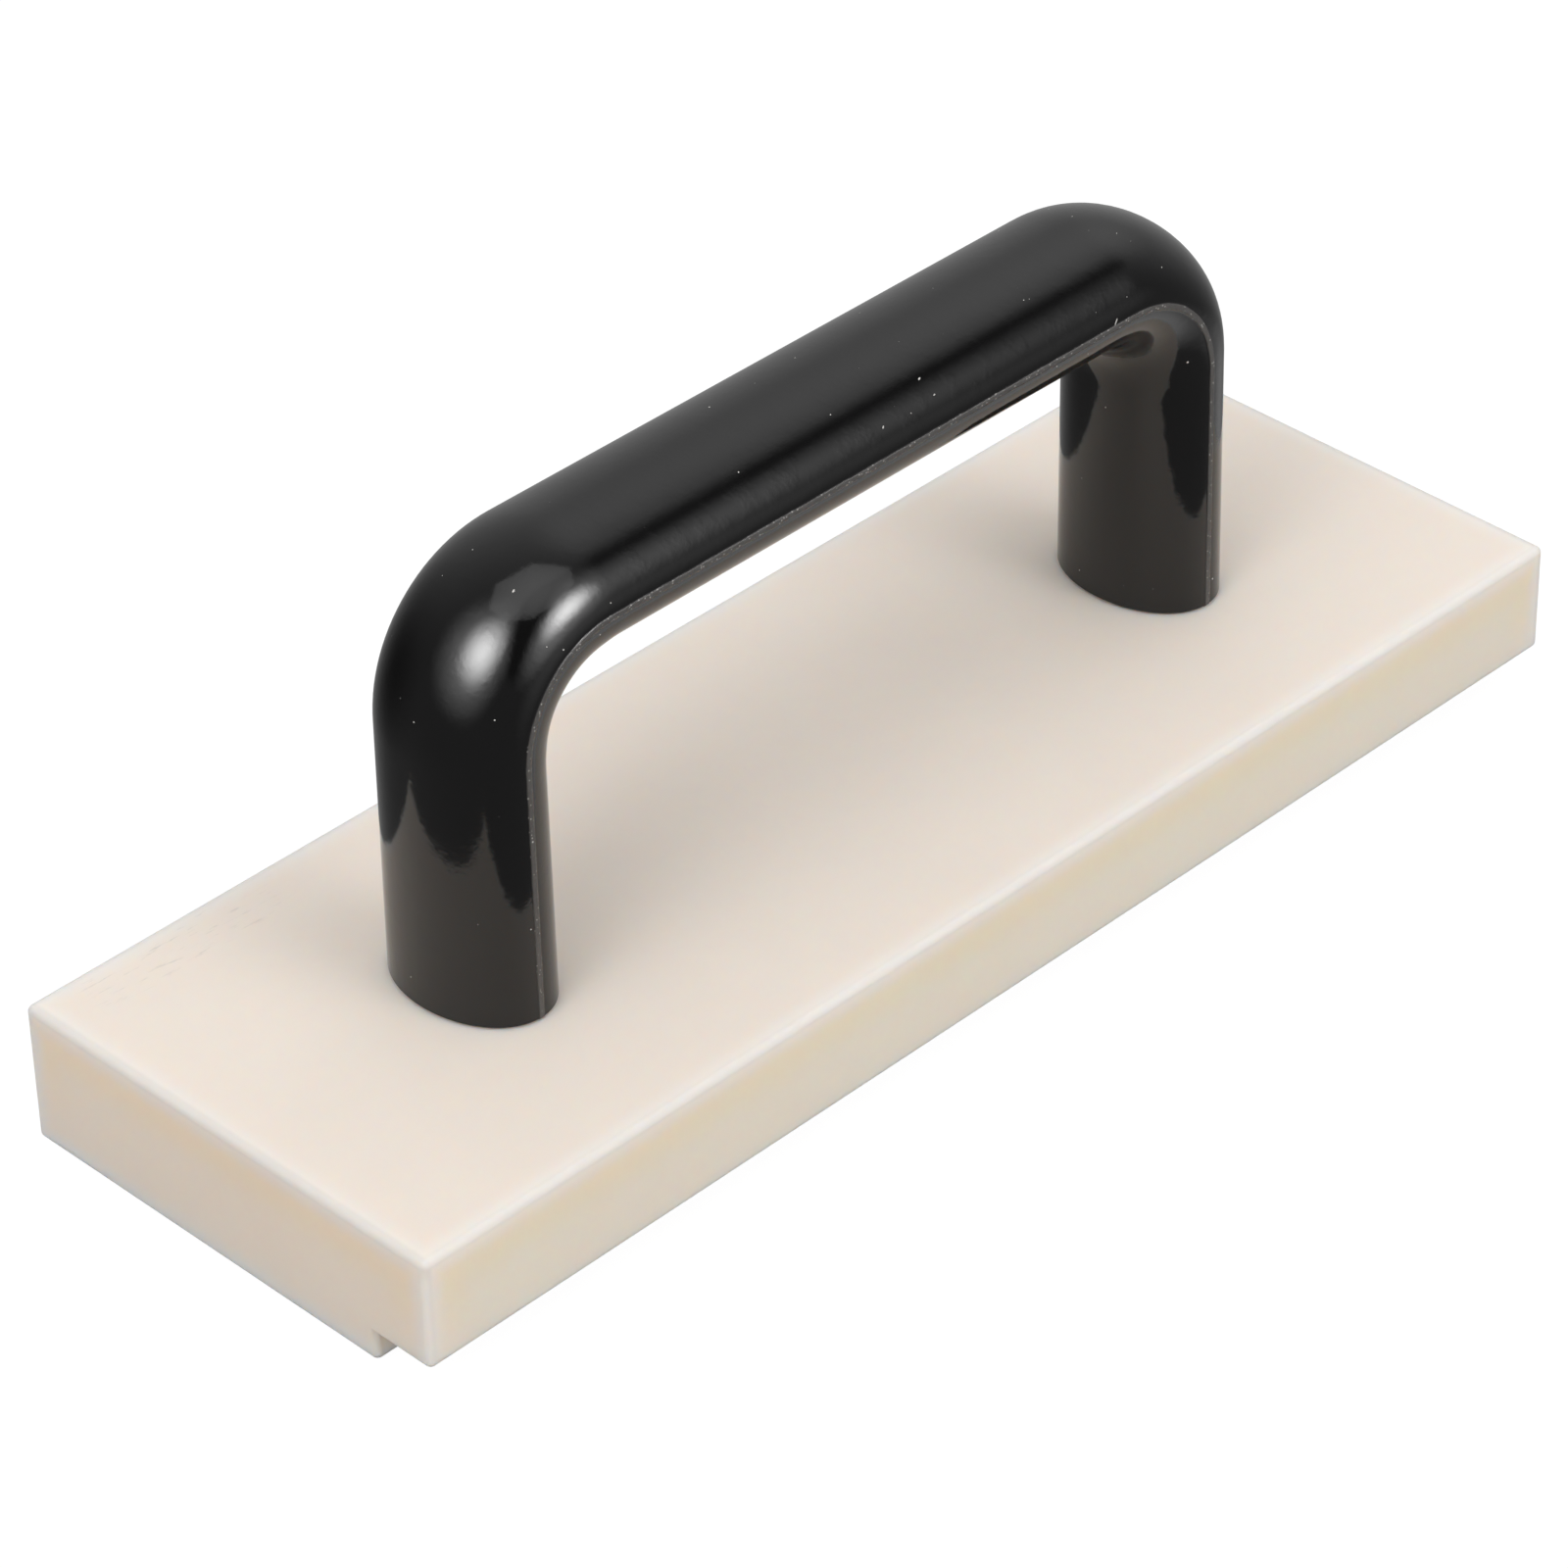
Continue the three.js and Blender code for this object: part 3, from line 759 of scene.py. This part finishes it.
def capScrewProfile():
    low, high, head = screwLow.z, screwHigh.z, (screwHigh.x - screwLow.x) / 2
    flat, ease, soft = capScrew["hexAcrossFlats"] / 2, capScrew["headChamfer"], 0.15 * mm
    floor, neck = low + capScrew["hexDepth"], low + capScrew["headHeight"]
    shank, tip = capScrew["threadRadius"], capScrew["tipChamfer"]
    rows = [(0, floor), (flat * 0.5, floor - 0.2 * mm), (flat * 0.98, floor - 0.45 * mm, 1),
            (flat, floor - 0.55 * mm, 1), (flat, low + 1.5 * mm, 1), (flat, low + 0.25 * mm, 1),
            (flat + 0.2 * mm, low, 1), (head - ease - soft, low), (head - ease + soft * 0.4, low + soft * 0.5),
            (head - soft * 0.5, low + ease - soft * 0.4), (head, low + ease + soft), (head, low + 0.8 * mm)]
    rows += [(head, low + height * mm, 0, 1) for height in (1.0, 2.5, 4.0)]
    rows += [(head, neck - 0.6 * mm, 0, 1), (head, neck - 0.4 * mm), (head, neck - soft), (head - soft, neck),
             (shank + 0.5 * mm, neck), (shank + 0.15 * mm, neck + 0.06 * mm), (shank, neck + 0.25 * mm)]
    rows += threadRows(shank, neck + 0.3 * mm, high - tip, 1.0 * mm, 0.01 * mm)[:-1]
    steps = 4
    for i in range(steps + 1):
        share = i / steps
        taper = share * (capScrew["threadDepth"] + 0.05 * mm)
        rows.append((shank - taper, high - tip * (1 - share), 0, 0, 1 - share))
    rows.append((0, high))
    return profileMesh("capScrewProfile", rows)


blackOxide = {
    "coat": (0.030, 0.030, 0.033),
    "brown": (0.050, 0.040, 0.034),
    "bare": (0.20, 0.20, 0.21),
    "roughness": 0.40,
}


def blackOxideMaterial():
    material, tree, shader = blankMaterial("blackOxideSteel", Metallic=0.85)
    radius, z, point, across, y = nearAxis(objectPoint(tree))
    cloud, grain = noise(point, 0.35, 4.0, 0.6), noise(point, 9.0, 3.0, 0.6)
    headLow, headRadius = screwLow.z * 1000, (screwHigh.x - screwLow.x) * 500
    rim = ramp(radius, headRadius - 0.28, headRadius) * ramp(z, headLow + 6.2, headLow + 5.8)
    mouth = ramp(radius, 3.15, 2.75) * ramp(z, headLow + 0.5, headLow) * ramp(radius, 2.3, 2.6)
    crest = ramp(radius, 2.82, 3.0) * ramp(z, headLow + 6.2, headLow + 6.6)
    worn = smaller(rim * 0.22 + mouth * 0.6 + crest * 0.22, 1.0) * ramp(noise(point, 1.1, 4.0, 0.6), 0.35, 0.70)
    colour = blend(cloud, blackOxide["coat"], blackOxide["brown"])
    colour = blend(worn, colour, blackOxide["bare"])
    connect(colour, shader, "Base Color")
    connect(blackOxide["roughness"] + (cloud - 0.5) * 0.16 + (grain - 0.5) * 0.10 - worn * 0.12, shader, "Roughness")
    rings = noise(join(tree, radius * 6.0, z * 0.2, 0.0), 1.0, 3.0, 0.6)
    connect(raised(grain * 0.006 + rings * 0.006), shader, "Normal")
    return material


flatWasher = {"bore": 3.2 * mm, "edgeRadius": 0.28 * mm, "boreEdge": 0.16 * mm, "facets": 120}


def roundedRing(inner, outer, low, high, innerEase, outerEase, steps=4):
    # closed section with rounded corners, repeated first point last
    rows = []
    corners = [(outer, low, outerEase, -90), (outer, high, outerEase, 0),
               (inner, high, innerEase, 90), (inner, low, innerEase, 180)]
    for x, z, ease, start in corners:
        inX, inZ = (x - ease if x == outer else x + ease), (z + ease if z == low else z - ease)
        for i in range(steps + 1):
            a = math.radians(start + 90 * i / steps)
            rows.append((inX + ease * math.cos(a), inZ + ease * math.sin(a)))
    return rows + rows[:1]


zinc = {
    "bright": (0.66, 0.68, 0.70),
    "dull": (0.50, 0.52, 0.53),
    "roughness": 0.30,
}


def zincMaterial():
    material, tree, shader = blankMaterial("zincPlatedSteel", Metallic=1.0)
    radius, z, point, across, y = nearAxis(objectPoint(tree))
    cloud, grain = noise(point, 0.5, 4.0, 0.6), noise(point, 7.0, 3.0, 0.65)
    rings = noise(join(tree, radius * 7.0, z * 5.0, calc(tree, "ARCTAN2", y, across) * 0.15), 1.0, 4.0, 0.7)
    stain = ramp(noise(point, 0.9, 5.0, 0.7), 0.52, 0.74)
    colour = blend(smaller(cloud * 0.6 + stain * 0.5, 1.0), zinc["bright"], zinc["dull"])
    connect(colour, shader, "Base Color")
    connect(zinc["roughness"] + (cloud - 0.5) * 0.14 + stain * 0.12 + (rings - 0.5) * 0.10, shader, "Roughness")
    connect(raised(rings * 0.010 + grain * 0.004), shader, "Normal")
    return material


lockWasher = {"bore": 3.15 * mm, "cornerRadius": 0.22 * mm, "gap": 1.2 * mm, "slant": 12.0, "facets": 120}


def lockWasherTree():
    tree, size, sink = geometryTree("lockWasherSweep", {
        "Axis offset": 0.0, "Middle height": 0.0, "Middle radius": 0.0, "Section width": 0.0, "Section height": 0.0,
        "Corner radius": 0.0, "Gap angle": 0.0, "Slant angle": 0.0, "Facets": 3})
    half = size["Gap angle"] / 2.0
    arc = addNode(tree, "GeometryNodeCurveArc", {
        "Resolution": size["Facets"], "Radius": size["Middle radius"], "Start Angle": half,
        "Sweep Angle": 2 * math.pi - size["Gap angle"]}, mode="RADIUS")
    arc = addNode(tree, "GeometryNodeSetCurveNormal", {"Curve": arc}, mode="Z_UP")
    section = addNode(tree, "GeometryNodeCurvePrimitiveQuadrilateral", {
        "Width": size["Section width"], "Height": size["Section height"]}, mode="RECTANGLE")
    section = addNode(tree, "GeometryNodeFilletCurve", {
        "Curve": section, "Count": 4, "Radius": size["Corner radius"]}, mode="POLY")
    band = addNode(tree, "GeometryNodeCurveToMesh", {"Curve": arc, "Profile Curve": section, "Fill Caps": True})
    x, y, z = split(tree, addNode(tree, "GeometryNodeInputPosition"))
    turn = calc(tree, "ARCTAN2", y, x) + size["Slant angle"] * z / size["Section height"]
    radius = root(square(x) + square(y))
    spot = join(tree, size["Axis offset"] + radius * calc(tree, "COSINE", turn), radius * calc(tree, "SINE", turn),
                size["Middle height"] + z)
    band = addNode(tree, "GeometryNodeSetPosition", {"Geometry": band, "Position": spot})
    closeTree(tree, band, size["Material"], sink)
    return tree


threadedInsert = {
    "boreRadius": 3.2 * mm,
    "flutes": 24,
    "fluteDepth": 0.35 * mm,
    "grooveWidth": 1.6 * mm,
    "grooveDepth": 0.8 * mm,
    "chamfer": 0.5 * mm,
    "facets": 144,
}


def flutedRows(radius, start, end, count=6):
    return [(radius, start + (end - start) * i / count, 0, 1) for i in range(count + 1)]


def insertProfile(low, high, outer):
    bore, ease, soft = threadedInsert["boreRadius"], threadedInsert["chamfer"], 0.12 * mm
    middle, half = (low + high) / 2, threadedInsert["grooveWidth"] / 2
    waist = outer - threadedInsert["grooveDepth"]
    lead, step = 0.45 * mm, 0.25 * mm
    rows = [(bore + lead, low), (bore, low + lead)]
    rows += threadRows(bore, low + 0.46 * mm, high - 0.46 * mm, 0.5 * mm, 0.5 * mm)
    rows += [(bore, high - lead), (bore + lead, high), (outer - ease - soft, high),
             (outer - ease + soft, high - soft), (outer - soft * 0.5, high - ease + soft * 0.5),
             (outer, high - ease - soft, 0, 1)]
    upper, lower = high - ease - 0.6 * mm, low + ease + 0.6 * mm
    rows += flutedRows(outer, upper, middle + half + step)
    rows += [(outer - step, middle + half, 0, 0.3), (waist, middle + half), (waist, middle), (waist, middle - half),
             (outer - step, middle - half, 0, 0.3)]
    rows += flutedRows(outer, middle - half - step, lower)
    rows += [(outer, low + ease + soft, 0, 1), (outer - soft * 0.5, low + ease - soft * 0.5),
             (outer - ease + soft, low + soft), (outer - ease - soft, low), (bore + lead, low)]
    return profileMesh("insertProfile", rows)


brass = {
    "bright": (0.82, 0.60, 0.24),
    "dull": (0.52, 0.36, 0.15),
    "roughness": 0.26,
}


def brassMaterial():
    material, tree, shader = blankMaterial("turnedBrass", Metallic=1.0)
    radius, z, point, across, y = nearAxis(objectPoint(tree))
    cloud, grain = noise(point, 0.4, 4.0, 0.6), noise(point, 7.0, 3.0, 0.65)
    rings = noise(join(tree, radius * 5.0, z * 5.0, calc(tree, "ARCTAN2", y, across) * 0.1), 1.0, 4.0, 0.7)
    tarnish = ramp(noise(point, 0.8, 5.0, 0.7), 0.46, 0.74)
    colour = blend(smaller(cloud * 0.4 + tarnish * 0.6, 1.0), brass["bright"], brass["dull"])
    connect(colour, shader, "Base Color")
    connect(brass["roughness"] + tarnish * 0.16 + (rings - 0.5) * 0.12, shader, "Roughness")
    connect(raised(rings * 0.012 + grain * 0.003), shader, "Normal")
    return material


turning, splitRing = turnedTree(), lockWasherTree()
oxideLook, zincLook, brassLook = blackOxideMaterial(), zincMaterial(), brassMaterial()
plainTurn = {"Knurls": 1, "Knurl depth": 0.0, "Thread pitch": capScrew["threadPitch"], "Thread depth": 0.0}
for side, label in ((-1, "Left"), (1, "Right")):
    node = "_" + label.lower()
    threadSizes = {"Thread pitch": capScrew["threadPitch"], "Thread depth": capScrew["threadDepth"]}
    screw = growPiece("capScrew" + label, turning, {
        "Axis offset": side * screwX, "Facets": capScrew["facets"], "Knurls": capScrew["knurls"],
        "Knurl depth": capScrew["knurlDepth"], **threadSizes}, oxideLook, capScrewProfile())
    finishPiece(screw, "cap_screw" + node, 32)

    low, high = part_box("flat_washer" + node)
    ring = roundedRing(flatWasher["bore"], (high.x - low.x) / 2, low.z, high.z, flatWasher["boreEdge"],
                       flatWasher["edgeRadius"])
    washer = growPiece("flatWasher" + label, turning, {
        "Axis offset": side * screwX, "Facets": flatWasher["facets"], **plainTurn}, zincLook,
        profileMesh("washerProfile", ring))
    finishPiece(washer, "flat_washer" + node, 40)

    low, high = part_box("lock_washer" + node)
    outer, inner = (high.x - low.x) / 2, lockWasher["bore"]
    middle = (outer + inner) / 2
    spring = growPiece("lockWasher" + label, splitRing, {
        "Axis offset": side * screwX, "Middle height": (low.z + high.z) / 2, "Middle radius": middle,
        "Section width": outer - inner, "Section height": high.z - low.z, "Corner radius": lockWasher["cornerRadius"],
        "Gap angle": lockWasher["gap"] / middle, "Slant angle": math.radians(lockWasher["slant"]),
        "Facets": lockWasher["facets"]}, zincLook)
    finishPiece(spring, "lock_washer" + node, 40)

    low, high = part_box("threaded_insert" + node)
    insert = growPiece("threadedInsert" + label, turning, {
        "Axis offset": side * screwX, "Facets": threadedInsert["facets"], "Knurls": threadedInsert["flutes"],
        "Knurl depth": threadedInsert["fluteDepth"], **threadSizes}, brassLook,
        insertProfile(low.z, high.z, (high.x - low.x) / 2))
    finishPiece(insert, "threaded_insert" + node, 32)
    print("fasteners made:", label)


# floor, light and camera

studio = {
    "floorSize": 12.0,
    "floorColour": (0.30, 0.30, 0.30),
    "floorSeen": (0.90, 0.90, 0.90),
    "floorWhite": 0.90,        # share of the seen floor that stays evenly white
    "floorGlow": 1.06,
    "softShare": 0.28,         # how much of the lamps' strength reaches matt surfaces
    "fill": 0.485,             # even light from all round on matt surfaces
    "room": 0.17,              # strength of the dark room all round
    "darkest": 0.02,
}

roomLight = {
    # azimuth from +Y towards +X, elevation, angles of the inner and outer edge, strength
    "pale walls": (44.2, 30.2, 4.2, 92.3, 0.46),
    "left softbox": (-101.3, 40.5, 0.0, 25.1, 14.3),
    "left spill": (-97.5, 37.2, 0.0, 43.5, 3.24),
    "right softbox": (167.9, 34.2, 0.0, 22.1, 15.3),
    "right spill": (172.0, 33.8, 0.0, 39.9, 5.09),
    "far lamp": (76.0, 45.6, 0.0, 31.8, 0.48),
    "low spill": (160.9, 1.0, 0.0, 33.9, 0.62),
    "floor sheet": (108.9, -55.8, 16.5, 36.0, 0.83),
    "front flag": (-175.5, 42.8, 0.0, 39.0, -2.36),
    "side flag": (112.9, 48.2, 0.0, 14.0, -0.34),
    "back flag": (-16.4, -0.4, 0.0, 46.0, -0.20),
}

overheadLamp = {
    # eight-sided lamp: place and half sizes as tangents of the angle from straight up
    "place": (-0.059, -0.248),
    "turn": -57.5,
    "halfLength": 0.584,
    "halfWidth": 0.385,
    "edgeStrength": 0.75,
    "centreStrength": 1.45,
}


def aim(azimuth, elevation):
    a, e = math.radians(azimuth), math.radians(elevation)
    return Vector((math.sin(a) * math.cos(e), math.cos(a) * math.cos(e), math.sin(e)))


def overhead(direction):
    tree = direction.tree
    x, y, z = split(tree, direction)
    height = larger(z, 0.15)
    across, along = x / height - overheadLamp["place"][0], y / height - overheadLamp["place"][1]
    cosTurn, sinTurn = math.cos(math.radians(overheadLamp["turn"])), math.sin(math.radians(overheadLamp["turn"]))
    u = calc(tree, "ABSOLUTE", (across * cosTurn + along * sinTurn) / overheadLamp["halfLength"])
    v = calc(tree, "ABSOLUTE", (along * cosTurn - across * sinTurn) / overheadLamp["halfWidth"])
    outward = larger(larger(u, v), (u + v) * math.sqrt(0.5))
    lift = overheadLamp["centreStrength"] - overheadLamp["edgeStrength"]
    glow = overheadLamp["edgeStrength"] + lift * (1.0 - square(smaller(outward, 1.0)))
    return ramp(outward, 1.04, 0.96) * ramp(z, 0.15, 0.2) * glow


def makeWorld():
    world = bpy.data.worlds.new("studio")
    scene.world = world
    world.use_nodes = True
    tree = world.node_tree
    background = tree.nodes["Background"]
    direction = addNode(tree, "ShaderNodeTexCoord", output=0)

    def awayFrom(azimuth, elevation):
        dot = vectorCalc(tree, "DOT_PRODUCT", direction, aim(azimuth, elevation))
        return calc(tree, "ARCCOSINE", smaller(dot, 1.0)) * (180 / math.pi)

    total = studio["room"]
    for azimuth, elevation, inner, outer, strength in roomLight.values():
        total = ramp(awayFrom(azimuth, elevation), outer, inner, 0.0, strength) + total
    total = larger(total, studio["darkest"]) + overhead(direction)
    paths = tree.nodes.new("ShaderNodeLightPath")
    glossy = nodeValue(tree, paths.outputs["Is Glossy Ray"])
    total = pick(glossy, total, total * studio["softShare"] + studio["fill"])
    total = pick(nodeValue(tree, paths.outputs["Is Camera Ray"]), 1.0, total)
    feed(tree, background.inputs["Strength"], total)
    background.inputs["Color"].default_value = (1.0, 1.0, 1.0, 1.0)


def makeFloor():
    material = bpy.data.materials.new("paleFloor")
    material.use_nodes = True
    tree = material.node_tree
    tree.nodes.clear()
    matt = tree.nodes.new("ShaderNodeBsdfDiffuse")
    bright = tree.nodes.new("ShaderNodeEmission")
    bright.inputs["Color"].default_value = (1.0, 1.0, 1.0, 1.0)
    bright.inputs["Strength"].default_value = studio["floorGlow"]
    paths = tree.nodes.new("ShaderNodeLightPath")
    seen = nodeValue(tree, paths.outputs["Is Camera Ray"])
    feed(tree, matt.inputs["Color"], blend(seen, studio["floorColour"], studio["floorSeen"]))
    share = seen * studio["floorWhite"]
    mixer = tree.nodes.new("ShaderNodeMixShader")
    feed(tree, mixer.inputs[0], share)
    tree.links.new(matt.outputs[0], mixer.inputs[1])
    tree.links.new(bright.outputs[0], mixer.inputs[2])
    result = tree.nodes.new("ShaderNodeOutputMaterial")
    tree.links.new(mixer.outputs[0], result.inputs[0])
    half = studio["floorSize"] / 2
    mesh = bpy.data.meshes.new("paleFloor")
    mesh.from_pydata([(-half, -half, 0), (half, -half, 0), (half, half, 0), (-half, half, 0)], [], [(0, 1, 2, 3)])
    floor = newPiece("paleFloor", mesh, material)
    floor.location.z = cadLow.z - 0.05 * mm
    floor.visible_glossy = False


view = {
    "target": (-0.02473, -0.01850, 0.03928),
    "azimuth": -44.7778,
    "elevation": 35.867,
    "distance": 0.75072,
    "roll": -1.225,
    "lens": 144.42,
    "sensor": 36.0,
}


def makeCamera():
    data = bpy.data.cameras.new("camera")
    camera = bpy.data.objects.new("camera", data)
    scene.collection.objects.link(camera)
    a, e = math.radians(view["azimuth"]), math.radians(view["elevation"])
    back = Vector((math.sin(a) * math.cos(e), -math.cos(a) * math.cos(e), math.sin(e)))
    level = (-back).to_track_quat("-Z", "Y").to_matrix()
    turned = level @ Matrix.Rotation(math.radians(view["roll"]), 3, "Z")
    camera.matrix_world = Matrix.Translation(Vector(view["target"]) + back * view["distance"]) @ turned.to_4x4()
    data.lens, data.sensor_width = view["lens"], view["sensor"]
    data.clip_start, data.clip_end = 0.01, 50.0
    scene.camera = camera


makeWorld()
makeFloor()
makeCamera()
print("studio made")
